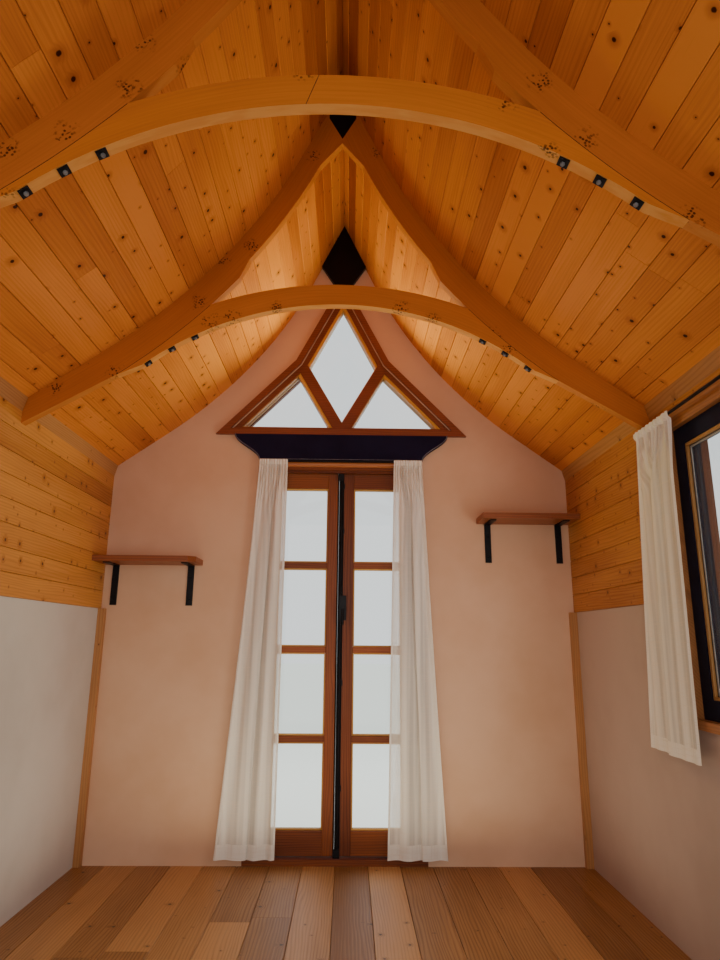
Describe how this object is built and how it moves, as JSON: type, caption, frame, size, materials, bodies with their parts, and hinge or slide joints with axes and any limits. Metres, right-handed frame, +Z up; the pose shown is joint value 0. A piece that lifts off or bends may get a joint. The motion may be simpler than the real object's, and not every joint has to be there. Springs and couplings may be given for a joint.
{
  "type": "tiny house end bay",
  "caption": "End bay of a tiny house with a boarded bell-shaped vault on arched trusses, a French door, a star-shaped gable window and a side window.",
  "frame": {"origin": "middle of the bay's box on the level that the floor frame rests on", "axes": "+Y from the open end to the gable, +X to the right seen from the open end, +Z up"},
  "size_m": [2.536, 2.98, 3.4765],
  "materials": {
    "cladding": "planed pine boards outside, cream paint on the gable's inner face",
    "floor_timber": "sawn softwood",
    "floor_boards": "oiled boards",
    "pine_boards": "varnished knotty pine",
    "painted_panel": "matt off-white paint on panel",
    "roof_timber": "sawn softwood",
    "roof_sheet": "matt dark grey",
    "beam_timber": "oiled, with dark knots",
    "black_steel": "satin black",
    "stained_joinery": "stained and varnished",
    "pane_glass": "clear",
    "navy_paint": "satin dark navy paint",
    "linen": "sheer slubbed linen"
  },
  "bodies": {
    "house": {"left_wall": "cladding", "right_wall": "cladding", "gable_wall_left": "cladding", "gable_wall_right": "cladding", "gable_wall_top": "cladding", "floor_frame": "floor_timber", "floor_deck": "floor_boards", "left_boards": "pine_boards", "right_boards": "pine_boards", "left_ceiling": "pine_boards", "right_ceiling": "pine_boards", "wall_trims": "pine_boards", "left_panel": "painted_panel", "right_panel": "painted_panel", "left_roof": "roof_timber", "right_roof": "roof_timber", "left_covering": "roof_sheet", "right_covering": "roof_sheet", "ridge_cap": "roof_sheet", "truss_1_rafters": "beam_timber", "truss_2_rafters": "beam_timber", "truss_3_rafters": "beam_timber", "truss_1_arch": "beam_timber", "truss_2_arch": "beam_timber", "truss_3_arch": "beam_timber", "peak_blocks": "black_steel", "arch_bolts": "black_steel", "curtain_rods": "black_steel", "shelf_brackets": "black_steel", "door_frame": "stained_joinery", "star_casing": "stained_joinery", "star_frame": "stained_joinery", "side_window_reveal": "stained_joinery", "shelves": "stained_joinery", "star_glass": "pane_glass", "side_window_glass": "pane_glass", "header_board": "navy_paint", "side_window_frame": "navy_paint", "door_curtains": "linen", "side_curtains": "linen"},
    "left_door": {"left_leaf": "stained_joinery", "left_leaf_glass": "pane_glass"},
    "right_door": {"right_leaf": "stained_joinery", "right_leaf_glass": "pane_glass", "door_bolt": "black_steel"}
  },
  "joints": [
    {"name": "left_door_hinge", "type": "hinge", "parent": "house", "child": "left_door", "pos_m": [-0.3525, 1.383, 1], "axis": [0, 0, 1], "range_deg": [0, 90]},
    {"name": "right_door_hinge", "type": "hinge", "parent": "house", "child": "right_door", "pos_m": [0.3525, 1.383, 1], "axis": [0, 0, -1], "range_deg": [0, 90]}
  ]
}
